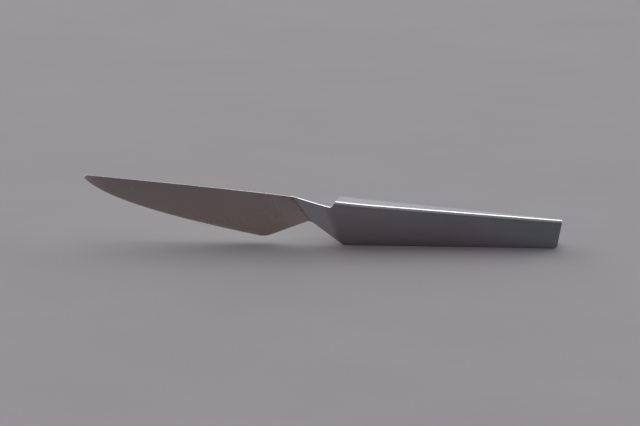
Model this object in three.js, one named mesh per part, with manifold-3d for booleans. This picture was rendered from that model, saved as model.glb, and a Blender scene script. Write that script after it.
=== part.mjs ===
// Table knife with a hollow handle folded from sheet steel.
// Millimetres, +Z up. The blade points to -X, the butt to +X, and the sole stands on z = 0.
// Side-view outlines are given as [x, z], seen square on from the near (-Y) side.

import * as THREE from "three";
import { mergeVertices } from "three/addons/utils/BufferGeometryUtils.js";
import Module from "manifold-3d";

const wasm = await Module();
wasm.setup();

// Fits
const GAP = 0.15;

// Handle: a trapezoid tube whose walls lean in toward the top and run together to the rear,
// with a top that lifts a little over its front end
const SHEET = 1.2;
const FOLD_RADIUS = 2;
const WALL_LEAN = 0.17;
const FOOT_FRONT_X = 10.3;
const FOOT_FRONT_HALF = 8.65;
const FOOT_REAR_X = 110.85;
const FOOT_REAR_HALF = 4.3;
const TOP_FRONT_X = 6.4;
const TOP_FRONT_Z = 19.7;
const TOP_LIFT = 0.45;
const TOP_LIFT_RUN = 20;
const TOP_FAR_FRONT_X = 7.8;
const BUTT_TOP_X = 113.1;
const BUTT_TOP_Z = 12.8;
const REAR_CORNER = 1.4;

// Mouth: the line where the near wall is folded on into the neck, and the rounded rise above it
const MOUTH_TOP = [4.05, 17.55];
const RISE_TOP_X = 5.2;

// Neck and blade outline
const APEX = [-5.3, 10.7];
const APEX_ROUND = 2;
const SHOULDER = [-13.3, 21.65];
const NECK_TOP_BEND = [-4.7, 19.4];
const CHOIL_SLOPE = 0.394;
const HEEL_X = -26.7;
const HEEL_ROUND = 2.9;
const EDGE_SLOPE = 0.167;
const EDGE_HEEL_BEND = [-77.7, 11.3];
const EDGE_TIP_BEND = [-103.8, 18.45];
const TIP = [-113.6, 27.4];
const TIP_ROUND = 1.5;
const TIP_START = 0.005;
const SPINE_BEND = [-61.7, 25.8];

// Plate thicknesses of the blade and the fold that carries it inward from the wall
const NECK_FOLD = 0.15;
const NECK_THICK = 2;
const SPINE_HEEL_THICK = 1.6;
const SPINE_TIP_THICK = 0.8;
const GRIND_THICK = 0.35;
const EDGE_THICK = 0.15;
const BEVEL_SLOPE = 0.8;
const BEVEL_HEIGHT = 0.25;
const PLUNGE = 4;

// Tang: a straight tongue against the inside of the near wall
const TANG_THICK = 1.5;
const TANG_ROOT_LOW = 6.5;
const TANG_ROOT_HIGH = 14;
const TANG_END_X = 46;
const TANG_END_LOW = 7.5;
const TANG_END_HIGH = 12;
const TANG_LAP = 6.3;
const BED_END_X = 50;

// Closing plates
const PLATE = 1.2;
const MOUTH_INSET = 0.6;
const BUTT_INSET = 0.3;

// Facets
const FOLD_STEPS = 8;
const HANDLE_STATIONS = 12;
const PLUG_STATIONS = 5;
const BLADE_STATIONS = 30;
const HEEL_STATIONS = 26;
const NECK_STATIONS = 10;
const ROWS = 7;
const CORNER_STEPS = 6;
const HALVINGS = 40;
const HALFWAY = 0.5;

const mix = (a, b, t) => a + (b - a) * t;
const clamp01 = (t) => THREE.MathUtils.clamp(t, 0, 1);
const steps = (count) => Array.from({ length: count + 1 }, (_, i) => i / count);
const vec2 = ([x, z]) => new THREE.Vector2(x, z);

// Skins a row of closed rings and caps both ends. A ring goes up one side and comes back down
// the other, so each cap is a strip of quads between the two sides.
function loft(rings) {
  const count = rings[0].length;
  const faces = [];
  for (let ring = 0; ring < rings.length - 1; ring++) {
    for (let i = 0; i < count; i++) {
      const a = ring * count + i;
      const b = ring * count + ((i + 1) % count);
      faces.push([a, a + count, b], [b, a + count, b + count]);
    }
  }
  const last = (rings.length - 1) * count;
  for (let i = 0; i < count / 2 - 1; i++) {
    const back = count - 1 - i;
    faces.push([i, i + 1, back], [i + 1, back - 1, back]);
    faces.push([last + i, last + back, last + i + 1], [last + i + 1, last + back, last + back - 1]);
  }
  const geometry = new THREE.BufferGeometry().setFromPoints(rings.flat());
  geometry.setIndex(faces.flat());
  return geometry;
}

function toSolid(geometry) {
  const bare = geometry.clone();
  bare.deleteAttribute("normal");
  bare.deleteAttribute("uv");
  const merged = mergeVertices(bare);
  const mesh = new wasm.Mesh({
    numProp: 3,
    vertProperties: new Float32Array(merged.attributes.position.array),
    triVerts: new Uint32Array(merged.index.array),
  });
  return new wasm.Manifold(mesh);
}

function toGeometry(solid) {
  const mesh = solid.getMesh();
  const geometry = new THREE.BufferGeometry();
  geometry.setAttribute("position", new THREE.BufferAttribute(mesh.vertProperties, 3));
  geometry.setIndex(new THREE.BufferAttribute(mesh.triVerts, 1));
  return geometry;
}

// Handle planes
const leanAngle = Math.atan(WALL_LEAN);
const wallSlant = Math.hypot(1, WALL_LEAN);
const footTaper = (FOOT_FRONT_HALF - FOOT_REAR_HALF) / (FOOT_REAR_X - FOOT_FRONT_X);
const footHalf = (x) => FOOT_FRONT_HALF - footTaper * (x - FOOT_FRONT_X);
const topLift = (x) => TOP_LIFT * clamp01(1 - (x - TOP_FRONT_X) / TOP_LIFT_RUN) ** 2;
const topLine = (x) => mix(TOP_FRONT_Z, BUTT_TOP_Z, (x - TOP_FRONT_X) / (BUTT_TOP_X - TOP_FRONT_X));
const topZ = (x) => topLine(x) + topLift(x);
const nearWall = (x, z) => WALL_LEAN * z - footHalf(x);
const mouthX = (z) => mix(FOOT_FRONT_X, MOUTH_TOP[0], z / MOUTH_TOP[1]);
const buttX = (z) => mix(FOOT_REAR_X, BUTT_TOP_X, z / BUTT_TOP_Z);

// Half of the handle's profile at one x, from its foot up over the fold: [half width, z] each
function halfProfile(x, inset, footZ) {
  const centreZ = topZ(x) - FOLD_RADIUS;
  const centreHalf = footHalf(x) - WALL_LEAN * centreZ - FOLD_RADIUS * wallSlant;
  const halfAt = (z) => footHalf(x) - WALL_LEAN * z - inset * wallSlant;
  const straight = centreZ + FOLD_RADIUS * Math.sin(leanAngle);
  const mouthStraight = topZ(MOUTH_TOP[0]) - FOLD_RADIUS + FOLD_RADIUS * Math.sin(leanAngle);
  const riseZ = (straight * MOUTH_TOP[1]) / mouthStraight;
  const radius = FOLD_RADIUS - inset;
  const fold = steps(FOLD_STEPS).map((t) => {
    const angle = mix(leanAngle, Math.PI / 2, t);
    return [centreHalf + radius * Math.cos(angle), centreZ + radius * Math.sin(angle)];
  });
  return [[halfAt(footZ), footZ], [halfAt(riseZ), riseZ], ...fold];
}

// The x where each line of the profile starts: near foot, near rise, near fold, then the far side
const nearFront = [
  FOOT_FRONT_X,
  MOUTH_TOP[0],
  ...steps(FOLD_STEPS).map((t) => mix(RISE_TOP_X, TOP_FRONT_X, t)),
];
const farFront = nearFront.map((_, i) => (i === 0 ? FOOT_FRONT_X : TOP_FAR_FRONT_X));
const profileFront = [...nearFront, ...farFront.reverse()].map((x) => x + GAP);

function profilePoint(i, x, inset, footZ) {
  const half = halfProfile(x, inset, footZ);
  const far = i >= half.length;
  const [width, z] = half[far ? 2 * half.length - 1 - i : i];
  return new THREE.Vector3(x, far ? width : -width, z);
}

// One ring of the profile, with each of its points at an x of its own
function profileRing(xOf, inset, footZ) {
  return profileFront.map((_, i) => {
    const guess = profilePoint(i, xOf(i, 0), inset, footZ);
    return profilePoint(i, xOf(i, guess.z), inset, footZ);
  });
}

// Solid plug of the handle's inside between two sets of x
function plug(startOf, endOf, footZ) {
  const inset = SHEET + GAP;
  const rings = steps(PLUG_STATIONS).map((t) => {
    const xOf = (i, z) => mix(startOf(i, z), endOf(i, z), t);
    return profileRing(xOf, inset, footZ);
  });
  return loft(rings);
}

// What lies outside the quarter round of the lower rear corner, across the whole width
function cornerCutter() {
  const heights = steps(CORNER_STEPS).map((t) => REAR_CORNER * (1 - Math.cos((t * Math.PI) / 2)));
  const arc = heights.map((z) => {
    const below = 1 - z / REAR_CORNER;
    return [buttX(z) - REAR_CORNER * (1 - Math.sqrt(1 - below * below)), z];
  });
  const beyond = heights.map((z) => [FOOT_REAR_X + REAR_CORNER, z]);
  const outline = [...arc, ...beyond.reverse()];
  const ring = (y) => outline.map(([x, z]) => new THREE.Vector3(x, y, z));
  return toSolid(loft([ring(FOOT_FRONT_HALF), ring(-FOOT_FRONT_HALF)]));
}

function roundCorner(geometry) {
  return toGeometry(toSolid(geometry).subtract(cornerCutter()));
}

function handleShell() {
  const rearOf = (i) => buttX(profilePoint(i, BUTT_TOP_X, 0, 0).z);
  const rings = steps(HANDLE_STATIONS).map((t) => {
    const xOf = (i) => mix(profileFront[i], rearOf(i), t);
    const outer = profileRing(xOf, 0, 0);
    const inner = profileRing(xOf, SHEET, 0);
    return [...outer, ...inner.reverse()];
  });
  return roundCorner(loft(rings));
}

function solePlate() {
  const inset = (SHEET + GAP) * wallSlant;
  const ring = (x) => {
    const half = (z) => footHalf(x) - WALL_LEAN * z - inset;
    const corners = [[-half(0), 0], [-half(PLATE), PLATE], [half(PLATE), PLATE], [half(0), 0]];
    return corners.map(([y, z]) => new THREE.Vector3(x, y, z));
  };
  return roundCorner(loft([ring(FOOT_FRONT_X + GAP), ring(FOOT_REAR_X)]));
}

// Neck and blade planes: the neck is the wall folded inward at the mouth line, and the blade
// is the neck folded back at the grind line until it runs straight along x
const mouthLine = vec2(MOUTH_TOP).sub(vec2([FOOT_FRONT_X, 0])).normalize();
const grindLine = vec2(SHOULDER).sub(vec2(APEX)).normalize();
const offLine = (x, z, from, line) => (z - from[1]) * -line.x + (x - from[0]) * line.y;
const beforeMouth = (x, z) => -offLine(x, z, MOUTH_TOP, mouthLine);
const beforeGrind = (x, z) => -offLine(x, z, APEX, grindLine);
const neckFace = (x, z) => nearWall(x, z) + NECK_FOLD * beforeMouth(x, z);
const bladeLean = (neckFace(...SHOULDER) - neckFace(...APEX)) / (SHOULDER[1] - APEX[1]);
const bladeFace = (z) => neckFace(...APEX) + bladeLean * (z - APEX[1]);

// Outline curves
const heelZ = APEX[1] - CHOIL_SLOPE * (APEX[0] - HEEL_X);
const heelStart = [HEEL_X - HEEL_ROUND, heelZ + EDGE_SLOPE * HEEL_ROUND];
const heelEnd = [HEEL_X + HEEL_ROUND, heelZ + CHOIL_SLOPE * HEEL_ROUND];
const edgeCurve = new THREE.CubicBezierCurve(
  vec2(TIP),
  vec2(EDGE_TIP_BEND),
  vec2(EDGE_HEEL_BEND),
  vec2(heelStart),
);
const apexStart = [APEX[0] - APEX_ROUND, APEX[1] - CHOIL_SLOPE * APEX_ROUND];
const neckLowSlope = APEX[1] / (FOOT_FRONT_X - APEX[0]);
const apexEnd = [APEX[0] + APEX_ROUND, APEX[1] - neckLowSlope * APEX_ROUND];
const apexCurve = new THREE.QuadraticBezierCurve(vec2(apexStart), vec2(APEX), vec2(apexEnd));
const apexMiddle = apexCurve.getPoint(HALFWAY);
const apexBefore = vec2(apexStart).lerp(vec2(APEX), HALFWAY);
const apexAfter = vec2(APEX).lerp(vec2(apexEnd), HALFWAY);
const apexIn = new THREE.QuadraticBezierCurve(vec2(apexStart), apexBefore, apexMiddle);
const apexOut = new THREE.QuadraticBezierCurve(apexMiddle, apexAfter, vec2(apexEnd));
const heelCurve = new THREE.QuadraticBezierCurve(vec2(heelStart), vec2([HEEL_X, heelZ]), vec2(heelEnd));
const spineCurve = new THREE.QuadraticBezierCurve(
  vec2([TIP[0], TIP[1] + TIP_ROUND]),
  vec2(SPINE_BEND),
  vec2(SHOULDER),
);
const neckTopCurve = new THREE.QuadraticBezierCurve(vec2(SHOULDER), vec2(NECK_TOP_BEND), vec2(MOUTH_TOP));

// Height of a curve that runs along +x, at one x
function heightAt(curve, x) {
  let low = 0;
  let high = 1;
  for (let i = 0; i < HALVINGS; i++) {
    const middle = mix(low, high, HALFWAY);
    if (curve.getPoint(middle).x < x) low = middle;
    else high = middle;
  }
  return curve.getPoint(low).y;
}

// Height of the cutting edge, carried straight on past the heel
const edgeZ = (x) => {
  const past = heelStart[1] - EDGE_SLOPE * (x - heelStart[0]);
  return x < heelStart[0] ? heightAt(edgeCurve, x) : past;
};
const spineZ = (x) => {
  const turn = clamp01((TIP[0] + TIP_ROUND - x) / TIP_ROUND);
  return heightAt(spineCurve, x) - TIP_ROUND * (1 - Math.sqrt(1 - turn * turn));
};

// Thickness of the ground blade: a flat wedge, a fine bevel at the edge and a hollow run-out
function groundThickness(x, z) {
  const spine = mix(SPINE_HEEL_THICK, SPINE_TIP_THICK, clamp01((SHOULDER[0] - x) / (SHOULDER[0] - TIP[0])));
  const above = z - edgeZ(x);
  const share = clamp01(above / (spineZ(Math.min(x, SHOULDER[0])) - edgeZ(x)));
  const wedge = Math.min(mix(GRIND_THICK, spine, share), EDGE_THICK + BEVEL_SLOPE * Math.max(above, 0));
  const runOut = clamp01(1 - beforeGrind(x, z) / PLUNGE);
  return mix(wedge, NECK_THICK, runOut * runOut);
}

// Closed ring of one station, from its low point up the near face and down the far face
function bladeRing(low, high, inNeck) {
  const height = low.distanceTo(high);
  const bevel = Math.min(BEVEL_HEIGHT / height, 1 / ROWS);
  const shares = [0, ...steps(ROWS).map((t) => mix(bevel, 1, t))];
  const rows = shares.map((t) => low.clone().lerp(high, t));
  const sideOf = (side) => rows.map(({ x, y: z }) => {
    const thick = inNeck ? NECK_THICK : groundThickness(x, z);
    const middle = (inNeck ? neckFace(x, z) : bladeFace(z)) + NECK_THICK / 2;
    return new THREE.Vector3(x, middle + (side * thick) / 2, z);
  });
  return [...sideOf(-1), ...sideOf(1).reverse()];
}

function bladeStations() {
  const tip = steps(BLADE_STATIONS).map((t) => {
    const left = 1 - mix(TIP_START, 1, t);
    const low = edgeCurve.getPoint(1 - left * left);
    const high = new THREE.Vector2(low.x, spineZ(low.x));
    return bladeRing(low, high, false);
  });
  const choil = new THREE.LineCurve(vec2(heelEnd), vec2(apexStart));
  const heelLow = new THREE.CurvePath();
  heelLow.curves.push(heelCurve, choil, apexIn);
  const neckLow = new THREE.CurvePath();
  neckLow.curves.push(apexOut, new THREE.LineCurve(vec2(apexEnd), vec2([FOOT_FRONT_X, 0])));
  const heel = steps(HEEL_STATIONS).slice(1).map((t) => {
    const low = heelLow.getPoint(t);
    const highX = mix(heelStart[0], SHOULDER[0], t);
    return bladeRing(low, new THREE.Vector2(highX, spineZ(highX)), false);
  });
  const neck = steps(NECK_STATIONS).slice(1).map((t) => {
    return bladeRing(neckLow.getPoint(t), neckTopCurve.getPoint(t), true);
  });
  return [...tip, ...heel, ...neck];
}

// Straight tongue against the wall's inner face, grown by a clearance for what is cut around it
function tang(clearance) {
  const nearInset = (SHEET + GAP) * wallSlant;
  const lead = (z) => mouthX(z) - TANG_LAP;
  const ring = (xOf, low, high) => {
    const corner = (z, inset) => new THREE.Vector3(xOf(z), nearWall(xOf(z), z) + inset, z);
    const near = nearInset - clearance;
    const far = nearInset + TANG_THICK + clearance;
    const bottom = low - clearance;
    const top = high + clearance;
    return [corner(bottom, near), corner(top, near), corner(top, far), corner(bottom, far)];
  };
  const end = () => TANG_END_X + clearance;
  return loft([ring(lead, TANG_ROOT_LOW, TANG_ROOT_HIGH), ring(end, TANG_END_LOW, TANG_END_HIGH)]);
}

function blade() {
  return toGeometry(toSolid(loft(bladeStations())).add(toSolid(tang(0))));
}

const plateFoot = PLATE + GAP;
const tangCutter = toSolid(tang(GAP));

function mouthPlate() {
  const front = (i) => profileFront[i] + MOUTH_INSET;
  const plate = plug(front, (i) => front(i) + PLATE, plateFoot);
  return toGeometry(toSolid(plate).subtract(tangCutter));
}

function tangBed() {
  const front = (i) => profileFront[i] + MOUTH_INSET + PLATE + GAP;
  const bed = plug(front, () => BED_END_X, plateFoot);
  return toGeometry(toSolid(bed).subtract(tangCutter));
}

function buttPlate() {
  const back = (i, z) => buttX(z) - BUTT_INSET;
  return plug((i, z) => back(i, z) - PLATE, back, plateFoot);
}

const STEEL = { color: 0x8d8b8b, roughness: 0.3, metalness: 1 };
const GROUND_STEEL = { color: 0x908a88, roughness: 0.24, metalness: 1 };
const RESIN = { color: 0x4a4640, roughness: 0.7, metalness: 0 };

const knife = new THREE.Group();

function addPiece(name, geometry, finish) {
  geometry.computeVertexNormals();
  const mesh = new THREE.Mesh(geometry, new THREE.MeshStandardMaterial(finish));
  mesh.name = name;
  knife.add(mesh);
}

addPiece("blade", blade(), GROUND_STEEL);
addPiece("handle_shell", handleShell(), STEEL);
addPiece("sole_plate", solePlate(), STEEL);
addPiece("mouth_plate", mouthPlate(), STEEL);
addPiece("butt_plate", buttPlate(), STEEL);
addPiece("tang_bed", tangBed(), RESIN);

export default knife;
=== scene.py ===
# %% [markdown]
# # A table knife of folded steel
#
# This knife stands on the underside of its own handle, spine up, so the blade never touches the
# table. The handle is a sheet folded into a tube, and its near wall runs on through a slim neck into
# the blade. The solids of the part come in as a fixed frame, and the cells below dress them: first
# the finishes, then the blade, the handle and its mouth plate as finer meshes, then the table, the
# light and the camera.

import math

import bmesh
import bpy
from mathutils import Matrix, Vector

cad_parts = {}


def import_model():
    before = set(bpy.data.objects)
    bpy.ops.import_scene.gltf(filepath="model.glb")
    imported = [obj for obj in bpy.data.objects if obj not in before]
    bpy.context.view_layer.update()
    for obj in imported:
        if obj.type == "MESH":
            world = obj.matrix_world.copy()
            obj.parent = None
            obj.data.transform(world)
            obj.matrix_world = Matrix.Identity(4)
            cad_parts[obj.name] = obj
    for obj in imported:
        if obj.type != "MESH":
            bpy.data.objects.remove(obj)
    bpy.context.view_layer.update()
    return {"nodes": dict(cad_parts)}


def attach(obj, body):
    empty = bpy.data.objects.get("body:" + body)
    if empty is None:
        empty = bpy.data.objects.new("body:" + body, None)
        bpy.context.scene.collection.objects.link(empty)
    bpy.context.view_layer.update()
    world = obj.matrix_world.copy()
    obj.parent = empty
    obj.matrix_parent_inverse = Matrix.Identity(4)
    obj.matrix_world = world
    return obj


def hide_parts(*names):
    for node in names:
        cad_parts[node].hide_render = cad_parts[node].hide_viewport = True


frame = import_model()
MM = 0.001
print("solids:", sorted(frame["nodes"]))

# %% [markdown]
# ## Writing node trees as sums
#
# Steel is a matter of fine numbers: how rough, how bright, which way the brushing runs. Node trees
# for that are tedious to wire one link at a time. This small class wraps one output socket, so that
# a line such as `1 - mask` adds the Math node that does it. Every other node comes from `node`, and
# `span` and `axis` are short for the two that come up most.


# %% Socket arithmetic
class Wire:
    """One output socket of a node tree. Arithmetic on it adds Math nodes to that tree."""

    def __init__(self, socket):
        self.socket = socket
        self.tree = socket.id_data

    @classmethod
    def node(cls, tree, kind, settings=None, inputs=None, output=0):
        """Adds a node, sets it up first, then fills its sockets with values or links."""
        made = tree.nodes.new(kind)
        for name, value in (settings or {}).items():
            setattr(made, name, value)
        for key, value in (inputs or {}).items():
            if isinstance(value, Wire):
                tree.links.new(value.socket, made.inputs[key])
            else:
                made.inputs[key].default_value = value
        return cls(made.outputs[output]) if made.outputs else None

    def math(self, operation, *values):
        sockets = dict(enumerate(values))
        return Wire.node(self.tree, "ShaderNodeMath", {"operation": operation}, sockets)

    def __add__(self, other):
        return self.math("ADD", self, other)

    def __sub__(self, other):
        return self.math("SUBTRACT", self, other)

    def __rsub__(self, other):
        return self.math("SUBTRACT", other, self)

    def __mul__(self, other):
        return self.math("MULTIPLY", self, other)

    def __truediv__(self, other):
        return self.math("DIVIDE", self, other)

    __radd__ = __add__
    __rmul__ = __mul__

    def span(self, start, end):
        """0 up to start, 1 from end on, and a straight rise between them."""
        sockets = {"Value": self, "From Min": start, "From Max": end}
        return Wire.node(self.tree, "ShaderNodeMapRange", {"clamp": True}, sockets)

    def axis(self, name):
        """The X, Y or Z of a vector."""
        return Wire.node(self.tree, "ShaderNodeSeparateXYZ", inputs={0: self}, output=name)


print("sockets can be added, subtracted, multiplied, divided, spanned and split by axis")

# %% [markdown]
# ## The outline
#
# The side view of a knife is drawn before anything else. Each point below is x and z in millimetres,
# seen square on: the tip at the left, the butt at the right, the table at z = 0. A few Bezier curves
# between them give the edge, the spine and the neck, so moving one point reshapes the whole blade.

# %% Driving dimensions
TIP = Vector((-113.6, 27.4))
TIP_ROUND = 1.5
SPINE_BEND = Vector((-61.7, 25.8))
SHOULDER = Vector((-13.3, 21.65))
EDGE_TIP_BEND = Vector((-103.8, 18.45))
EDGE_HEEL_BEND = Vector((-77.7, 11.3))
EDGE_SLOPE = 0.167
HEEL_X = -26.7
HEEL_ROUND = 2.9
CHOIL_SLOPE = 0.394
APEX = Vector((-5.3, 10.7))
APEX_ROUND = 2.0
NECK_TOP_BEND = Vector((-4.7, 19.4))
MOUTH_TOP = Vector((4.05, 17.55))
MOUTH_FOOT = Vector((10.3, 0))

FOOT_FRONT_HALF = 8.65
FOOT_REAR = Vector((110.85, 0))
FOOT_REAR_HALF = 4.3
WALL_LEAN = 0.17
NECK_FOLD = 0.15
NECK_THICK = 2.0
SHEET = 1.2
heel = Vector((HEEL_X, APEX.y - CHOIL_SLOPE * (APEX.x - HEEL_X)))
heel_start = heel + HEEL_ROUND * Vector((-1, EDGE_SLOPE))
heel_end = heel + HEEL_ROUND * Vector((1, CHOIL_SLOPE))
print(f"the heel of the edge hangs {heel.y:.2f} mm above the table")

# %% Curves between the points
CURVE_FIT = 1e-6


def mix(a, b, t):
    return a + (b - a) * t


def clamp(t):
    return min(max(t, 0.0), 1.0)


def bezier(points, t):
    """A point on the Bezier curve of any number of points."""
    while len(points) > 1:
        points = [a.lerp(b, t) for a, b in zip(points, points[1:])]
    return points[0]


def share_at(points, x):
    """How far along a curve that runs toward +x a given x lies, by halving."""
    low, high = 0.0, 1.0
    while high - low > CURVE_FIT:
        middle = (low + high) / 2
        if bezier(points, middle).x < x:
            low = middle
        else:
            high = middle
    return low


EDGE = [TIP, EDGE_TIP_BEND, EDGE_HEEL_BEND, heel_start]
SPINE = [TIP + Vector((0, TIP_ROUND)), SPINE_BEND, SHOULDER]
NECK_TOP = [SHOULDER, NECK_TOP_BEND, MOUTH_TOP]


def edge_z(x):
    """Height of the cutting edge, carried straight on past the heel."""
    if x < heel_start.x:
        return bezier(EDGE, share_at(EDGE, x)).y
    return heel_start.y - EDGE_SLOPE * (x - heel_start.x)


def spine_z(x):
    """Height of the spine, rounded off at the tip."""
    turn = clamp((TIP.x + TIP_ROUND - x) / TIP_ROUND)
    return bezier(SPINE, share_at(SPINE, x)).y - TIP_ROUND * (1 - math.sqrt(1 - turn * turn))


print(f"blade depth at the heel: {spine_z(heel.x) - edge_z(heel.x):.1f} mm")

# %% [markdown]
# ## Three flat faces and two bends
#
# The near side of the knife is one sheet with two bends: the wall leans in over the table, the neck
# turns inward from it at the mouth, and the blade turns back at the grind line. A plane is a sum in
# x and z, so each face is one line of code. A smooth maximum of two planes is a bend with a soft
# radius, which is what a press brake leaves. The handle uses the same sum later, so they meet flush.

# %% Planes of the near side
MOUTH_SOFT = 0.7
GRIND_SOFT = 0.06
foot_taper = (FOOT_FRONT_HALF - FOOT_REAR_HALF) / (FOOT_REAR.x - MOUTH_FOOT.x)
mouth_line = (MOUTH_TOP - MOUTH_FOOT).normalized()
grind_line = (SHOULDER - APEX).normalized()


def before(x, z, start, line):
    """Distance in front of a line of the side view, on the tip's side of it."""
    return (z - start.y) * line.x - (x - start.x) * line.y


def near_wall(x, z):
    return WALL_LEAN * z - FOOT_FRONT_HALF + foot_taper * (x - MOUTH_FOOT.x)


def neck_plane(x, z):
    return near_wall(x, z) + NECK_FOLD * before(x, z, MOUTH_TOP, mouth_line)


apex_y = neck_plane(*APEX)
blade_lean = (neck_plane(*SHOULDER) - apex_y) / (SHOULDER.y - APEX.y)


def blade_plane(z):
    return apex_y + blade_lean * (z - APEX.y)


def smooth_max(a, b, soft):
    """The larger of two values, with a cubic blend where they cross."""
    overlap = max(soft - abs(a - b), 0) / soft
    return max(a, b) + soft * overlap**3 / 6


def near_face(x, z):
    """The near side of the plate before it is ground."""
    neck = -smooth_max(-neck_plane(x, z), -blade_plane(z), GRIND_SOFT)
    return smooth_max(near_wall(x, z), neck, MOUTH_SOFT)


print(f"the blade leans {math.degrees(math.atan(blade_lean)):.1f} degrees from upright")

# %% [markdown]
# ## Satin steel
#
# Brushed steel is a mirror combed in one direction. The comb marks tilt the surface across their own
# run, so a reflection smears across the grain and stays sharp along it. A noise stretched a
# hundredfold along the grain and fed to a Bump node does just that. Broad clouds, far weaker, give
# the uneven dullness of metal that has been handled. Faces that look up are polished smoother by
# palms and cloths. The walls are painted darker at the foot and lighter toward the top and the rear,
# which is painted shade. The near side also carries a painted reflection, a warmer grey in front and
# a cool one at the rear, and the other sides are plain grey. Object coordinates keep it all fixed to
# the knife.

# %% Grain and bumps
GRAIN_ROUGH = 0.6
NOISE_MEAN = 0.5


def new_material(name):
    """An empty material: its tree and a wire of its Object coordinates."""
    material = bpy.data.materials.new(name)
    material.use_nodes = True
    material.node_tree.nodes.clear()
    place = Wire.node(material.node_tree, "ShaderNodeTexCoord", output="Object")
    return material, material.node_tree, place


def grain(tree, place, per_metre, detail):
    """Noise stretched by its own number of grains per metre along each axis."""
    stretched = Wire.node(tree, "ShaderNodeMapping", inputs={"Vector": place, "Scale": per_metre})
    sockets = {"Vector": stretched, "Scale": 1.0, "Detail": detail, "Roughness": GRAIN_ROUGH}
    return Wire.node(tree, "ShaderNodeTexNoise", inputs=sockets)


def over_clouds(lines, clouds, share):
    """Fine lines laid over broad clouds, by the share that the lines have."""
    return lines * share + clouds * (1 - share)


def swing(noise, spread):
    """What a noise adds to a value to move it to either side, by up to half of the spread."""
    return spread * (noise - NOISE_MEAN)


def bump(tree, height, depth):
    """Normals tilted by a height map that is so many metres deep."""
    return Wire.node(tree, "ShaderNodeBump", inputs={"Distance": depth, "Height": height})


print("noise can be stretched, laid over clouds, swung about a value and bumped")

# %% Polish, colours and shading
# A Mix node keeps a set of sockets for each kind of data. These are the ones for colours.
MIX_SHARE, MIX_FIRST, MIX_SECOND, MIX_RESULT = 0, 6, 7, 2


def facing(tree, axis):
    """How far the surface faces along an axis, from -1 to 1."""
    return Wire.node(tree, "ShaderNodeTexCoord", output="Normal").axis(axis)


def palm_polish(tree, tilt):
    """1 where the surface faces up, where hands and cloths rub it, and 0 on the upright faces."""
    return facing(tree, "Z").span(*tilt)


def blend(tree, share, a, b):
    """Mix of two colours."""
    sockets = {MIX_SHARE: share, MIX_FIRST: a, MIX_SECOND: b}
    return Wire.node(tree, "ShaderNodeMix", {"data_type": "RGBA"}, sockets, MIX_RESULT)


def shade(tree, sockets):
    """Ends a material in one Principled shader."""
    finish = Wire.node(tree, "ShaderNodeBsdfPrincipled", inputs=sockets)
    Wire.node(tree, "ShaderNodeOutputMaterial", inputs={"Surface": finish})


print("colours can be blended, and a material ends in one shader")

# %% Tones of the handle, with painted shade and a painted reflection
# Painted shade at the foot, lighter up and rearward, and a painted reflection, warmer to cool.
FOOT_SHADE_TONE = (0.293, 0.255, 0.27, 1)
UNSHADED_TONE = (0.437, 0.425, 0.44, 1)
COOL_REFLECTION_TONE = (0.345, 0.378, 0.42, 1)
FOOT_SHADE_GREY = (0.3, 0.292, 0.298, 1)
UNSHADED_GREY = (0.42, 0.418, 0.428, 1)
FOOT_SHADE_HEIGHT = 17
REAR_LIGHT_RUN = (60, 120)
COOL_REFLECTION_RUN = (40, 105)
TONE_SPREAD = 0.3
OTHER_SIDES = (-0.9, -0.5)


def side_view(place):
    """Wires of x and z in millimetres."""
    return place.axis("X") / MM, place.axis("Z") / MM


def other_sides(tree):
    """0 on the faces that look to the near side, 1 on all others."""
    return facing(tree, "Y").span(*OTHER_SIDES)


def handle_tone_with_shade(tree, x, z, tone):
    """Painted shade at the foot; on the near side a painted reflection, warmer in front, cool behind.
    """
    lighter = z.span(0, FOOT_SHADE_HEIGHT) + x.span(*REAR_LIGHT_RUN) + swing(tone, TONE_SPREAD)
    upper = blend(tree, x.span(*COOL_REFLECTION_RUN), UNSHADED_TONE, COOL_REFLECTION_TONE)
    near_side = blend(tree, lighter, FOOT_SHADE_TONE, upper)
    return blend(tree, other_sides(tree), near_side, blend(tree, lighter, FOOT_SHADE_GREY, UNSHADED_GREY))


# Painted shade: the walls are darker at the foot and lighter from this height up.
print(f"the walls are dull at the foot and clean from {FOOT_SHADE_HEIGHT} mm up")

# %% Handle steel, brushed along its length
ALONG = (30, 4500, 4500)
LINE_DETAIL = 3
CLOUDS = (22, 60, 60)
CLOUD_DETAIL = 2
BRUSH_DEPTH = 1e-6
BRUSH_SWING = 0.08
BRUSH_LINES = 0.5
CLOUD_SWING = 0.1
HANDLE_ROUGH = 0.45
POLISH_ROUGH = 0.2
POLISH_TONE = (0.41, 0.41, 0.43, 1)
TOP_RUB = (0.25, 0.7)


def handle_steel():
    material, tree, place = new_material("handle_steel")
    lines = grain(tree, place, ALONG, LINE_DETAIL)
    clouds = grain(tree, place, CLOUDS, CLOUD_DETAIL)
    polish = palm_polish(tree, TOP_RUB)
    # The walls' colour holds the painted shade and the painted reflection.
    walls = handle_tone_with_shade(tree, *side_view(place), over_clouds(lines, clouds, BRUSH_LINES))
    dull = HANDLE_ROUGH + (POLISH_ROUGH - HANDLE_ROUGH) * polish
    sockets = {
        "Base Color": blend(tree, polish, walls, POLISH_TONE),
        "Metallic": 1.0,
        "Roughness": dull + swing(lines, BRUSH_SWING) + swing(clouds, CLOUD_SWING),
        "Normal": bump(tree, lines, BRUSH_DEPTH),
    }
    shade(tree, sockets)
    return material


HANDLE_STEEL = handle_steel()
print("finish:", HANDLE_STEEL.name)
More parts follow.
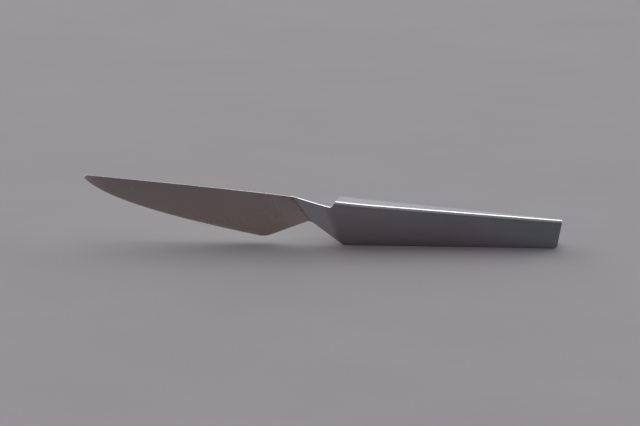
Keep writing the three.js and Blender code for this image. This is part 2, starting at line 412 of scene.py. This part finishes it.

# %% [markdown]
# The blade is one plate with two finishes. The neck keeps the handle's brushing, and near the mouth
# the handle's painted shade too. The ground part was passed across a belt, so its marks run from the
# spine to the edge. Its near side is painted a warmer grey that darkens toward the thin edge, which is
# a painted reflection, and its far side is a plain grey that also darkens toward the edge. The top of
# the neck is polished bright, and the spine is painted a darker grey, a painted shade that dims its
# reflection. One material holds it all, and the two finishes part along a line that starts at the
# apex, which is again a sum in x and z. A thin dark line of painted shade is drawn along it.

# %% Two finishes of the blade
ACROSS = (5200, 5200, 40)
GROUND_DEPTH = 3e-7
# Painted reflection: the near side is a warmer grey, darker toward the edge.
NEAR_REFLECTION_LOW = (0.495, 0.402, 0.352, 1)
NEAR_REFLECTION_HIGH = (0.528, 0.464, 0.46, 1)
# The far side is a plain grey, darker toward the edge.
FAR_LOW = (0.48, 0.452, 0.44, 1)
FAR_HIGH = (0.52, 0.5, 0.5, 1)
EDGE_DARKENING_RISE = (2, 24)
EDGE_DARKENING_SPREAD = 0.5
BELT_SWING = 0.01
BELT_LINES = 0.1
# Painted shade: the spine is painted a darker grey, which dims its reflection.
SPINE_SHADE_TONE = (0.3, 0.3, 0.31, 1)
GROUND_ROUGH = 0.28
FINISH_TOP = Vector((-14.7, 21.75))
FINISH_SOFT = 0.3
# Painted shade: a thin dark line drawn where the two finishes part.
SHADE_LINE_WIDTH = 0.7
SHADE_LINE_SHARE = 0.3
SHADE_LINE_TONE = (0, 0, 0, 1)
NECK_FADE = 3
EDGE_RUB = (0.7, 0.95)
finish_line = (FINISH_TOP - APEX).normalized()
# The two finishes part along this line, where a thin line of painted shade is drawn.
parting_lean = math.degrees(math.atan2(-finish_line.x, finish_line.y))
print(f"the scored line leans {parting_lean:.0f} degrees toward the tip")


# %% Blade steel
def blade_steel():
    material, tree, place = new_material("blade_steel")
    x, z = side_view(place)
    past = before(x, z, APEX, finish_line)
    # A thin line of painted shade along the parting line.
    line_shade = 1 - past.math("ABSOLUTE", past).span(0, SHADE_LINE_WIDTH)
    from_mouth = before(x, z, MOUTH_TOP, mouth_line).span(0, NECK_FADE)
    polish = palm_polish(tree, EDGE_RUB)
    ground = past.span(-FINISH_SOFT, FINISH_SOFT)
    along = grain(tree, place, ALONG, LINE_DETAIL)
    across = grain(tree, place, ACROSS, LINE_DETAIL)
    clouds = grain(tree, place, CLOUDS, CLOUD_DETAIL)
    lines = along * (1 - ground) + across * ground
    tone = over_clouds(lines, clouds, BELT_LINES)
    # Near the mouth the neck takes the handle's painted shade.
    neck = blend(tree, from_mouth, handle_tone_with_shade(tree, x, z, tone), UNSHADED_TONE)
    # Painted reflection on the near side: a warmer grey, darker toward the edge.
    from_edge = z.span(*EDGE_DARKENING_RISE) + swing(tone, EDGE_DARKENING_SPREAD)
    near_reflection = blend(tree, from_edge, NEAR_REFLECTION_LOW, NEAR_REFLECTION_HIGH)
    plain = blend(tree, from_edge, FAR_LOW, FAR_HIGH)
    belt_and_reflection = blend(tree, other_sides(tree), near_reflection, plain)
    depth = along * ((1 - ground) * BRUSH_DEPTH) + across * (ground * GROUND_DEPTH)
    unrubbed = HANDLE_ROUGH + (GROUND_ROUGH - HANDLE_ROUGH) * from_mouth
    dull = unrubbed + (POLISH_ROUGH - unrubbed) * polish
    # The parting line is darkened here by painted shade.
    shaded = blend(tree, line_shade * SHADE_LINE_SHARE, blend(tree, ground, neck, belt_and_reflection), SHADE_LINE_TONE)
    # Painted shade on the spine; the neck's top keeps its polished tone.
    polished_top_and_spine_shade = blend(tree, ground, POLISH_TONE, SPINE_SHADE_TONE)
    sockets = {
        "Base Color": blend(tree, polish, shaded, polished_top_and_spine_shade),
        "Metallic": 1.0,
        "Roughness": dull + swing(lines, BELT_SWING) + swing(clouds, CLOUD_SWING),
        "Normal": bump(tree, depth, 1.0),
    }
    shade(tree, sockets)
    return material


BLADE_STEEL = blade_steel()
print("finish:", BLADE_STEEL.name)

# %% [markdown]
# ## The blade
#
# A blade is forged or cut from plate and then ground thin on both sides. It could be a curve with a
# bevel, but a curve has one section all along, and a blade has none twice. So it is lofted: at every
# station a ring goes up the near face and down the far face, as thick as the grind leaves it there.

# %% Grinding
SPINE_HEEL_THICK = 1.6
SPINE_TIP_THICK = 0.8
GRIND_THICK = 0.35
EDGE_THICK = 0.15
BEVEL_SLOPE = 0.8
BEVEL_HEIGHT = 0.25
PLUNGE = 12


def thickness(x, z):
    """A flat wedge, a fine bevel at the edge, and a hollow run-out up to the neck."""
    spine = mix(SPINE_HEEL_THICK, SPINE_TIP_THICK, clamp((SHOULDER.x - x) / (SHOULDER.x - TIP.x)))
    above = z - edge_z(x)
    share = clamp(above / (spine_z(min(x, SHOULDER.x)) - edge_z(x)))
    wedge = min(mix(GRIND_THICK, spine, share), EDGE_THICK + BEVEL_SLOPE * max(above, 0))
    run_out = clamp(1 - before(x, z, APEX, grind_line) / PLUNGE)
    return mix(wedge, NECK_THICK, run_out**2)


print(f"the edge is {thickness(*heel):.2f} mm thick at the heel")

# %% Ring of one station
BLADE_ROWS = 14
EASE_ROWS = 5
SPINE_CROWN = (0.14, 0.3)
NECK_CROWN = (0.45, 0.92)
NECK_CROWN_RUN = 2.0
LOW_EASE = 0.6
LOW_SHARE = 1 / 3
HOLD = 0.1
SHORT_SHARE = 0.25


def quarter(ease):
    """Distances from an end at which a round of that height has its points."""
    return [ease * (1 - math.cos(math.pi / 2 * row / EASE_ROWS)) for row in range(EASE_ROWS)]


def rounded_off(distance, ease):
    """Share of its full depth by which a round of that height pulls a face in, near the end."""
    left = max(1 - distance / ease, 0)
    return 1 - math.sqrt(1 - left * left)


def blade_ring(low, high):
    """One closed ring, up the near face and down the far one. Its rounds shrink where it is short."""
    height = (high - low).length
    past_shoulder = clamp((high.x - SHOULDER.x) / NECK_CROWN_RUN)
    crown, crown_width = Vector(SPINE_CROWN).lerp(Vector(NECK_CROWN), past_shoulder)
    top_ease = min(crown, height * SHORT_SHARE)
    low_ease = min(LOW_EASE, thickness(*low) * LOW_SHARE)
    bevel = min(max(BEVEL_HEIGHT, low_ease), height / 2)
    flat_top = height - top_ease
    hold = min(HOLD, (flat_top - bevel) * SHORT_SHARE)
    flat = [mix(bevel + hold, flat_top - hold, row / BLADE_ROWS) for row in range(BLADE_ROWS + 1)]
    top = [height - distance for distance in quarter(top_ease)[::-1]]
    near, far = [], []
    for up in (*quarter(low_ease), bevel, *flat, flat_top, *top):
        x, z = low.lerp(high, up / height)
        middle = near_face(x, z) + NECK_THICK / 2
        half = thickness(x, z) / 2 * (1 - crown_width * rounded_off(height - up, top_ease))
        half -= low_ease * rounded_off(up, low_ease)
        near.append(Vector((x, middle - half, z)))
        far.append(Vector((x, middle + half, z)))
    return near + far[::-1]


print("a ring has", len(blade_ring(heel, SHOULDER)), "points")

# %% Low ends of the stations
HEEL_TURN = 0.25
APEX_TURN = 0.85
APEX_MIDDLE = 0.5
NECK_TURN = 0.15
apex_corner = [
    APEX + APEX_ROUND * Vector((-1, -CHOIL_SLOPE)),
    APEX,
    APEX + APEX_ROUND * (MOUTH_FOOT - APEX) / (MOUTH_FOOT.x - APEX.x),
]


def heel_low(t):
    """Low end of a station between the heel and the middle of the apex."""
    if t < HEEL_TURN:
        return bezier([heel_start, heel, heel_end], t / HEEL_TURN)
    if t < APEX_TURN:
        return heel_end.lerp(apex_corner[0], (t - HEEL_TURN) / (APEX_TURN - HEEL_TURN))
    return bezier(apex_corner, APEX_MIDDLE * (t - APEX_TURN) / (1 - APEX_TURN))


def neck_low(t):
    """Low end of a station between the middle of the apex and the foot of the mouth."""
    if t < NECK_TURN:
        return bezier(apex_corner, mix(APEX_MIDDLE, 1, t / NECK_TURN))
    return apex_corner[2].lerp(MOUTH_FOOT, (t - NECK_TURN) / (1 - NECK_TURN))


print(f"the apex is rounded down to {neck_low(0).y:.2f} mm above the table")

# %% Stations from the tip to the mouth
TIP_STATIONS = 70
TIP_START = 0.005
CROWD_TO_HEEL = 2
HEEL_STATIONS = 60
NECK_STATIONS = 36
rings = []
for station in range(TIP_STATIONS):
    t = mix(TIP_START, 1, station / TIP_STATIONS)
    low = bezier(EDGE, 1 - (1 - t) ** CROWD_TO_HEEL)
    rings.append(blade_ring(low, Vector((low.x, spine_z(low.x)))))
for station in range(HEEL_STATIONS):
    t = station / HEEL_STATIONS
    x = mix(heel_start.x, SHOULDER.x, t)
    rings.append(blade_ring(heel_low(t), Vector((x, spine_z(x)))))
for station in range(NECK_STATIONS + 1):
    t = station / NECK_STATIONS
    rings.append(blade_ring(neck_low(t), bezier(NECK_TOP, t)))
print(f"{len(rings)} stations of {len(rings[0])} points")

# %% [markdown]
# The neck ends at the mouth, but the plate does not: a narrower tongue, the tang, starts on the back of
# the neck and runs on into the handle, flat against the inside of the wall. Only its first few
# millimetres show, and only from behind.

# %% Tang
TANG_THICK = 1.5
TANG_ROOT = (6.5, 14.0)
TANG_END = (7.5, 12.0)
TANG_END_X = 46
TANG_LAP = 6.3
FIT = 0.15
wall_inset = (SHEET + FIT) * math.hypot(1, WALL_LEAN)


def tang_ring(x_of, heights, clearance):
    """Closed ring of the tang: up its near face, down its far face, grown by a clearance."""
    inset = wall_inset - clearance
    rows = (heights[0] - clearance, heights[1] + clearance)
    near = [Vector((x_of(z), near_wall(x_of(z), z) + inset, z)) for z in rows]
    far = [corner + Vector((0, TANG_THICK + 2 * clearance, 0)) for corner in near]
    return near + far[::-1]


def mouth_x(z):
    """The mouth line, which stops where the rise begins."""
    return mix(MOUTH_FOOT.x, MOUTH_TOP.x, min(z / MOUTH_TOP.y, 1))


def tang_rings(clearance):
    """Both ends of the tang. It starts a little ahead of the mouth."""
    root = tang_ring(lambda z: mouth_x(z) - TANG_LAP, TANG_ROOT, clearance)
    return [root, tang_ring(lambda z: TANG_END_X, TANG_END, clearance)]


tang = tang_rings(0)
print(f"tang runs {TANG_END_X - MOUTH_FOOT.x:.0f} mm into the handle")


# %% Skin over rings
def skin(mesh, rings):
    """A closed skin over a row of rings. A ring goes up one side and down the other."""
    rows = [[mesh.verts.new(point * MM) for point in ring] for ring in rings]
    count = len(rings[0])
    for first, second in zip(rows, rows[1:]):
        for i in range(count):
            j = (i + 1) % count
            mesh.faces.new((first[i], second[i], second[j], first[j]))
    for row, turned in ((rows[0], False), (rows[-1], True)):
        for i in range(count // 2 - 1):
            quad = [row[i], row[i + 1], row[count - 2 - i], row[count - 1 - i]]
            mesh.faces.new(quad[::-1] if turned else quad)


def loft(name, *skins):
    """A piece made of closed skins."""
    mesh = bmesh.new()
    for rings in skins:
        skin(mesh, rings)
    data = bpy.data.meshes.new(name)
    mesh.to_mesh(data)
    mesh.free()
    piece = bpy.data.objects.new(name, data)
    bpy.context.collection.objects.link(piece)
    return piece


blade = loft("ground_blade", rings, tang)
blade.data.materials.append(BLADE_STEEL)
print("blade:", len(blade.data.polygons), "faces")

# %% [markdown]
# No edge of real steel is sharp unless it is meant to cut. A Bevel modifier rounds those that turn
# sharply, each by its own weight, so that an edge can be rounded more, less or not at all. The blade is
# not rounded where it is welded to the handle, because there the two have to meet in one surface.

# %% Eased edges
EASE = 0.15
EASE_STEPS = 3
SHARP_TURN = 45
WELD = 0.1


def ease_edges(piece, width, share=lambda a, b: 1.0):
    """Rounds every edge that turns sharply, by a share of the width that depends on where it lies."""
    mesh = bmesh.new()
    mesh.from_mesh(piece.data)
    bmesh.ops.recalc_face_normals(mesh, faces=mesh.faces)
    weight = mesh.edges.layers.float.new("bevel_weight_edge")
    for edge in mesh.edges:
        if edge.calc_face_angle(0) > math.radians(SHARP_TURN):
            edge[weight] = share(*(vert.co / MM for vert in edge.verts))
            edge.smooth = edge[weight] > 0
    for face in mesh.faces:
        face.smooth = True
    mesh.to_mesh(piece.data)
    mesh.free()
    bevel = piece.modifiers.new("eased edges", "BEVEL")
    bevel.limit_method = "WEIGHT"
    bevel.width = width * MM
    bevel.segments = EASE_STEPS
    bevel.harden_normals = True
    return bevel


def at_mouth(a, b):
    """True for an edge that lies on the mouth line."""
    return all(abs(before(p.x, p.z, MOUTH_TOP, mouth_line)) < WELD for p in (a, b))


ease_edges(blade, EASE, lambda a, b: 0.0 if at_mouth(a, b) else 1.0)
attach(blade, "root")
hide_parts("blade")
print(f"spine crowned by {SPINE_CROWN[0]} mm, neck by {NECK_CROWN[0]} mm")

# %% [markdown]
# ## The folded handle
#
# The handle starts as a flat sheet and is folded over a former into a tube that narrows to the rear.
# Its shape follows a rule, so Geometry Nodes can make it: a flat grid goes in, and each of its points
# is sent to its place on the wall, the fold or the top. The sizes are named inputs of the tree.
# Solidify then gives the sheet its thickness.

# %% Sizes of the sheet
TOP_FRONT_X = 6.4
TOP_FAR_FRONT_X = 7.8
FOLD_LENGTHS = {
    "Foot front": MOUTH_FOOT.x,
    "Foot rear": FOOT_REAR.x,
    "Foot front half width": FOOT_FRONT_HALF,
    "Foot rear half width": FOOT_REAR_HALF,
    "Top front": TOP_FRONT_X,
    "Top front far side": TOP_FAR_FRONT_X,
    "Top front height": 19.7,
    "Top front lift": 0.45,
    "Top lift run": 20,
    "Butt top": 113.1,
    "Butt top height": 12.8,
    "Fold radius": 2.0,
    "Mouth top": MOUTH_TOP.x,
    "Mouth top height": MOUTH_TOP.y,
    "Rise top": 5.2,
    "Rear corner radius": 1.4,
    "Mouth softness": MOUTH_SOFT,
}
FOLD_RATIOS = {"Wall lean": WALL_LEAN, "Neck fold": NECK_FOLD}
STATIONS_ALONG = 73
ROWS_ACROSS = 161
LOW_ROWS = 0.50
WALL_ROWS = 0.54
FOLD_ROWS = 0.86
CROWD_TO_FRONT = 1.1
print(len(FOLD_LENGTHS) + len(FOLD_RATIOS), "sizes drive the fold")

# %% Inputs of the fold tree
GRID_HALF = 0.5


def fold_tree():
    """A tree with one named input per size, its sockets, and a wire for every size."""
    tree = bpy.data.node_groups.new("fold_sheet", "GeometryNodeTree")
    sockets = {}
    for label in (*FOLD_LENGTHS, *FOLD_RATIOS):
        sockets[label] = tree.interface.new_socket(label, in_out="INPUT", socket_type="NodeSocketFloat")
    tree.interface.new_socket("Sheet", in_out="OUTPUT", socket_type="NodeSocketGeometry")
    entry = tree.nodes.new("NodeGroupInput")
    size = {label: Wire(entry.outputs[label]) for label in sockets}
    return tree, sockets, size


tree, fold_sockets, size = fold_tree()
place = Wire.node(tree, "GeometryNodeInputPosition")
along = place.axis("X") + GRID_HALF
across = place.axis("Y") + GRID_HALF
print("grid shares run from 0 to 1 along and across the sheet")

# %% [markdown]
# Each point's share across the sheet says where it sits on the section. From either foot it climbs the
# wall, turns through the fold and then crosses half of the top. Four shares, each rising from 0 to 1 in
# its own stretch, let one sum hold all of that without a single branch.

# %% The section at any x
near = across.math("LESS_THAN", across, GRID_HALF)
up = 1 - across.math("ABSOLUTE", across * 2 - 1)
low_share = up.span(0, LOW_ROWS)
rise_share = up.span(LOW_ROWS, WALL_ROWS)
fold_share = up.span(WALL_ROWS, FOLD_ROWS)
top_share = up.span(FOLD_ROWS, 1)
lean = size["Wall lean"]
lean_angle = lean.math("ARCTANGENT", lean)
turn_angle = lean_angle + (math.pi / 2 - lean_angle) * fold_share
radius = size["Fold radius"]
fold_up = radius * (turn_angle.math("SINE", turn_angle) - lean.math("SINE", lean_angle))
fold_in = radius * (turn_angle.math("COSINE", turn_angle) - lean.math("COSINE", lean_angle))


def top_height(x):
    """The straight line of the top, lifted a little over its front end."""
    behind = x - size["Top front"]
    run = behind / (size["Butt top"] - size["Top front"])
    lift = 1 - behind.span(0, size["Top lift run"])
    line = size["Top front height"] + (size["Butt top height"] - size["Top front height"]) * run
    return line + size["Top front lift"] * lift * lift


def wall_height(x):
    """Where the straight wall ends and the fold begins."""
    return top_height(x) - radius + radius * lean.math("SINE", lean_angle)


def climb(x):
    """Height of a point on the wall or past it, before the fold adds its own."""
    rise_at = size["Mouth top height"] / wall_height(size["Mouth top"])
    return wall_height(x) * (rise_at * low_share + (1 - rise_at) * rise_share)


print("the section is a sum of", len(tree.nodes), "nodes so far")

# %% [markdown]
# The sheet is trimmed before it is folded: its front edge follows the mouth line up the near wall and
# then steps back over the fold, its rear edge leans with the butt, and the lower rear corner is
# rounded.

# %% Trimmed front and rear
step_back = (size["Top front"] + size["Top front far side"]) / 2
near_front = (
    size["Foot front"]
    + (size["Mouth top"] - size["Foot front"]) * low_share
    + (size["Rise top"] - size["Mouth top"]) * rise_share
    + (size["Top front"] - size["Rise top"]) * fold_share
    + (step_back - size["Top front"]) * top_share
)
far_front = (
    size["Foot front"]
    + (size["Top front far side"] - size["Foot front"]) * low_share
    + (step_back - size["Top front far side"]) * top_share
)
front = far_front + (near_front - far_front) * near
rear_z = climb(size["Butt top"]) + fold_up
corner = 1 - rear_z.span(0, size["Rear corner radius"])
corner_cut = size["Rear corner radius"] * (1 - corner.math("SQRT", 1 - corner * corner))
rear_lean = (size["Butt top"] - size["Foot rear"]) / size["Butt top height"]
rear = size["Foot rear"] + rear_lean * rear_z - corner_cut
x = front + (rear - front) * along.math("POWER", along, CROWD_TO_FRONT)
print("front and rear trims are in place")

# %% Folded place of every point
taper = (size["Foot front half width"] - size["Foot rear half width"]) / (
    size["Foot rear"] - size["Foot front"]
)
foot_half = size["Foot front half width"] - taper * (x - size["Foot front"])
fold_centre = top_height(x) - radius
slant = lean.math("SQRT", 1 + lean * lean)
centre_half = foot_half - lean * fold_centre - radius * slant
z = climb(x) + fold_up
half = foot_half - lean * climb(x) + fold_in - centre_half * top_share
mouth_run = size["Mouth top"] - size["Foot front"]
mouth_rise = size["Mouth top height"]
mouth_length = slant.math("SQRT", mouth_run * mouth_run + mouth_rise * mouth_rise)
ahead = z * mouth_run - (x - size["Foot front"]) * mouth_rise
bend = size["Neck fold"] * ahead / mouth_length
soft_bend = bend.math("SMOOTH_MAX", bend, 0.0, size["Mouth softness"])
near_y = soft_bend * (1 - top_share) - half
y = half + (near_y - half) * near
folded = Wire.node(tree, "ShaderNodeCombineXYZ", inputs={"X": x, "Y": y, "Z": z})
print("the fold takes", len(tree.nodes), "nodes")

# %% Grid in, sheet out
grid_sockets = {
    "Size X": 1.0,
    "Size Y": 1.0,
    "Vertices X": STATIONS_ALONG,
    "Vertices Y": ROWS_ACROSS,
}
flat = Wire.node(tree, "GeometryNodeMeshGrid", inputs=grid_sockets)
bent = Wire.node(tree, "GeometryNodeSetPosition", inputs={"Geometry": flat, "Position": folded})
whole = Wire.node(tree, "GeometryNodeRealizeInstances", inputs={"Geometry": bent})
finish = {"Geometry": whole, "Material": HANDLE_STEEL}
steel = Wire.node(tree, "GeometryNodeSetMaterial", inputs=finish)
Wire.node(tree, "NodeGroupOutput", inputs={"Sheet": steel})
print("a grid of", STATIONS_ALONG, "by", ROWS_ACROSS, "points goes in")


# %% Fold the handle
def fold_handle():
    """Runs the tree on an empty mesh, thickens the sheet and trims its foot level with the table."""
    blank = bpy.data.objects.new("blank", bpy.data.meshes.new("blank"))
    bpy.context.collection.objects.link(blank)
    fold = blank.modifiers.new("fold", "NODES")
    fold.node_group = tree
    for label, value in FOLD_LENGTHS.items():
        fold[fold_sockets[label].identifier] = value * MM
    for label, value in FOLD_RATIOS.items():
        fold[fold_sockets[label].identifier] = value
    wall = blank.modifiers.new("wall", "SOLIDIFY")
    wall.thickness = SHEET * MM
    wall.offset = -1
    evaluated = blank.evaluated_get(bpy.context.evaluated_depsgraph_get())
    data = bpy.data.meshes.new_from_object(evaluated)
    for vert in data.vertices:
        vert.co.z = max(vert.co.z, 0)
    bpy.data.objects.remove(blank)
    data.name = "folded_handle"
    handle = bpy.data.objects.new("folded_handle", data)
    bpy.context.collection.objects.link(handle)
    return handle


handle = fold_handle()
print("handle:", len(handle.data.polygons), "faces")

# %% Ease the handle's edges
HANDLE_EASE = 0.2
RISE_EASE = 0.5
RISE_FADE = (18.6, 20.0)


def handle_share(a, b):
    """The rise beside the neck is rounded most, like the neck, and that fades out over the fold."""
    if at_mouth(a, b):
        return 0.0
    middle = (a + b) / 2
    fade = clamp((middle.z - RISE_FADE[0]) / (RISE_FADE[1] - RISE_FADE[0]))
    on_rise = middle.y < 0 and middle.z > MOUTH_TOP.y - WELD and middle.x < TOP_FRONT_X
    return mix(1.0, HANDLE_EASE / RISE_EASE, fade if on_rise else 1.0)


ease_edges(handle, RISE_EASE, handle_share).use_clamp_overlap = False
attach(handle, "root")
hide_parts("handle_shell")
print(f"sheet edges eased by {HANDLE_EASE} mm, the rise by {RISE_EASE} mm")

# %% [markdown]
# ## The mouth plate
#
# A small plate closes the mouth behind the neck. The near edge of the mouth leans back further than
# the far edge, so a flat plate would not fit. This one is ruled: straight lines run across it from wall
# to wall, each turned a little more than the one below it. A Boolean then cuts the slot for the tang.

# %% Ruled plate
PLATE = 1.2
PLATE_SET_BACK = 0.75
PLATE_FOOT = 1.35
PLATE_TOP = 18.7
PLATE_CORNER = 0.65
PLATE_COLUMNS = 16
PLATE_ROWS = 14


def plate_point(share, z, depth):
    """A point of the plate at a share of the way from the near wall to the far one."""
    rise = clamp((z - MOUTH_TOP.y) / (PLATE_TOP - MOUTH_TOP.y))
    near_x = mouth_x(z) + (TOP_FRONT_X - MOUTH_TOP.x) * rise
    far_x = mix(MOUTH_FOOT.x, TOP_FAR_FRONT_X, min(z / MOUTH_TOP.y, 1))
    x = mix(near_x, far_x, share) + PLATE_SET_BACK + depth
    pull = wall_inset + PLATE_CORNER * rounded_off(PLATE_TOP - z, PLATE_CORNER)
    return Vector((x, mix(near_face(x, z) + pull, -near_wall(x, z) - pull, share), z))


corner_foot = PLATE_TOP - PLATE_CORNER
straight = [mix(PLATE_FOOT, corner_foot, row / PLATE_ROWS) for row in range(PLATE_ROWS)]
rounded = [PLATE_TOP - distance for distance in quarter(PLATE_CORNER)[::-1]]
heights = [*straight, corner_foot, *rounded]
plate_rings = []
for column in range(PLATE_COLUMNS + 1):
    share = column / PLATE_COLUMNS
    front_face = [plate_point(share, z, 0) for z in heights]
    back_face = [plate_point(share, z, PLATE) for z in heights]
    plate_rings.append(front_face + back_face[::-1])
print(f"the plate twists by {TOP_FAR_FRONT_X - MOUTH_TOP.x:.2f} mm from one wall to the other")


# %% Slot for the tang
def cut_away(piece, cutter):
    """Takes one piece's volume out of another and throws the cutter away."""
    cut = piece.modifiers.new("slot", "BOOLEAN")
    cut.object = cutter
    evaluated = piece.evaluated_get(bpy.context.evaluated_depsgraph_get())
    data = bpy.data.meshes.new_from_object(evaluated)
    piece.modifiers.remove(cut)
    piece.data = data
    bpy.data.objects.remove(cutter)


plate = loft("ruled_mouth_plate", plate_rings)
cut_away(plate, loft("tang_slot", tang_rings(FIT)))
plate.data.materials.clear()
plate.data.materials.append(HANDLE_STEEL)
ease_edges(plate, EASE)
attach(plate, "root")
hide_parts("mouth_plate")
print("mouth plate:", len(plate.data.polygons), "faces")

# %% [markdown]
# ## Closing plates and the bed of the tang
#
# Two flat plates close the sole and the butt, and a block of cast resin holds the tang. Their solids
# are already the right shape, so they stay as they are and only take a finish. The resin is never
# seen from outside, but it has a finish too: a dark grey with a fine mottle from its filler.

# %% Resin
FILLER = (900, 900, 900)
FILLER_DETAIL = 4
FILLER_DEPTH = 5e-5
RESIN_DARK = (0.045, 0.04, 0.035, 1)
RESIN_LIGHT = (0.1, 0.095, 0.085, 1)
RESIN_ROUGH = 0.6
RESIN_SPREAD = 0.2


def tang_resin():
    material, tree, place = new_material("tang_resin")
    filler = grain(tree, place, FILLER, FILLER_DETAIL)
    sockets = {
        "Base Color": blend(tree, filler, RESIN_DARK, RESIN_LIGHT),
        "Roughness": RESIN_ROUGH + RESIN_SPREAD * filler,
        "Normal": bump(tree, filler, FILLER_DEPTH),
    }
    shade(tree, sockets)
    return material


def dress(names, material):
    """Gives CAD nodes that stay a finish of the scene."""
    for name in names:
        data = frame["nodes"][name].data
        data.materials.clear()
        data.materials.append(material)


dress(["sole_plate", "butt_plate"], HANDLE_STEEL)
dress(["tang_bed"], tang_resin())
print("sole, butt and bed are dressed")

# %% [markdown]
# ## Table
#
# The knife is seen on a plain pale grey table. A perfectly even plane looks like a hole in the picture,
# so two weak noises give it the faint clouding and tooth of a mineral top. It is stage, not part.

# %% Table top
TABLE_DARK = (0.325, 0.31, 0.325, 1)
TABLE_LIGHT = (0.385, 0.37, 0.385, 1)
TABLE_CLOUDS = (9, 16, 9)
TABLE_CLOUD_DETAIL = 4
TOOTH = (700, 700, 700)
TOOTH_DETAIL = 2
TOOTH_SHARE = 0.3
TOOTH_DEPTH = 5e-5
TABLE_ROUGH = 0.75
TABLE_SPREAD = 0.2
TABLE_SHEEN = 0.15
TABLE_Z = -0.05 * MM
TABLE_PLAN = [(-1.2, -0.9), (1.2, -0.9), (1.2, 1.6), (-1.2, 1.6)]


def table_top():
    material, tree, place = new_material("mineral_top")
    clouds = grain(tree, place, TABLE_CLOUDS, TABLE_CLOUD_DETAIL)
    tooth = grain(tree, place, TOOTH, TOOTH_DETAIL)
    sockets = {
        "Base Color": blend(tree, over_clouds(tooth, clouds, TOOTH_SHARE), TABLE_DARK, TABLE_LIGHT),
        "Roughness": TABLE_ROUGH + TABLE_SPREAD * tooth,
        "Specular IOR Level": TABLE_SHEEN,
        "Normal": bump(tree, tooth, TOOTH_DEPTH),
    }
    shade(tree, sockets)
    return material


table_data = bpy.data.meshes.new("table")
table_data.from_pydata([(*corner, TABLE_Z) for corner in TABLE_PLAN], [], [(0, 1, 2, 3)])
table = bpy.data.objects.new("table", table_data)
bpy.context.collection.objects.link(table)
table_data.materials.append(table_top())
print("table:", len(table_data.polygons), "face")

# %% [markdown]
# ## Light
#
# Steel has hardly any colour of its own: it shows the room. The near faces look into a dim room and
# read dark, and the shadow falls forward, so the light stands behind. Two broad windows are there, left
# and right, and the flat top mirrors the pale wall between them. A third window higher up is what the
# rounded fold and the neck catch as a thin white line.

# %% Windows
WINDOW_DISTANCE = 14
WINDOWS = {
    "left_window": {"turn": -46, "rise": 20, "size": (14.4, 7.4), "power": 800},
    "right_window": {"turn": 48, "rise": 20, "size": (14.4, 7.4), "power": 950},
    "roof_window": {"turn": 1, "rise": 49, "size": (4.9, 9.4), "power": 510},
}


def direction(turn, rise):
    """Unit vector from the knife, turned from +y toward +x and raised from the table, in degrees."""
    turn, rise = math.radians(turn), math.radians(rise)
    return Vector((math.sin(turn) * math.cos(rise), math.cos(turn) * math.cos(rise), math.sin(rise)))


def hang_window(name, turn, rise, size, power):
    """A soft rectangle of light that faces the knife."""
    lamp = bpy.data.lights.new(name, "AREA")
    lamp.shape = "RECTANGLE"
    lamp.size, lamp.size_y = size
    lamp.energy = power
    window = bpy.data.objects.new(name, lamp)
    bpy.context.collection.objects.link(window)
    toward = direction(turn, rise)
    window.location = WINDOW_DISTANCE * toward
    window.rotation_euler = toward.to_track_quat("Z", "Y").to_euler()


for name, window in WINDOWS.items():
    hang_window(name, **window)
print(len(WINDOWS), "windows behind the knife")

# %% Room
ROOM_FRONT = (0.054, 0.0425, 0.044, 1)
ROOM_BACK = (0.7, 0.7, 0.72, 1)
ROOM_TOP = (0.38, 0.38, 0.4, 1)
FRONT_TO_BACK = (-0.8, 0.95)
WALL_TO_TOP = (0.3, 0.95)
world = bpy.data.worlds.new("room")
bpy.context.scene.world = world
world.use_nodes = True
room = world.node_tree
room.nodes.clear()
look = Wire.node(room, "ShaderNodeTexCoord", output="Generated")
walls = blend(room, look.axis("Y").span(*FRONT_TO_BACK), ROOM_FRONT, ROOM_BACK)
colour = blend(room, look.axis("Z").span(*WALL_TO_TOP), walls, ROOM_TOP)
glow = Wire.node(room, "ShaderNodeBackground", inputs={"Color": colour})
Wire.node(room, "ShaderNodeOutputWorld", inputs={"Surface": glow})
print("room is bright behind and dim in front")

# %% [markdown]
# ## Camera
#
# The picture was taken with a long lens from about a metre, a little above the table, so the two ends
# of the knife show almost no perspective. The lens below is the focal length in pixels that fits the
# picture, turned into millimetres on Blender's 36 mm sensor.

# %% Long lens
IMAGE_WIDTH = 640
FOCAL_PIXELS = 2200
PIXELS_PER_METRE = 2110
CAMERA_TURN = 5.0
CAMERA_RISE = 20
CAMERA_AIM = Vector((-0.00119, 0, 0.01259))
lens = bpy.data.cameras.new("camera")
lens.lens = lens.sensor_width * FOCAL_PIXELS / IMAGE_WIDTH
camera = bpy.data.objects.new("camera", lens)
bpy.context.collection.objects.link(camera)
away = direction(180 - CAMERA_TURN, CAMERA_RISE)
camera.location = CAMERA_AIM + away * (FOCAL_PIXELS / PIXELS_PER_METRE)
camera.rotation_euler = away.to_track_quat("Z", "Y").to_euler()
bpy.context.scene.camera = camera
bpy.context.scene.view_settings.view_transform = "Standard"
print(f"lens {lens.lens:.1f} mm at", [round(value, 3) for value in camera.location])
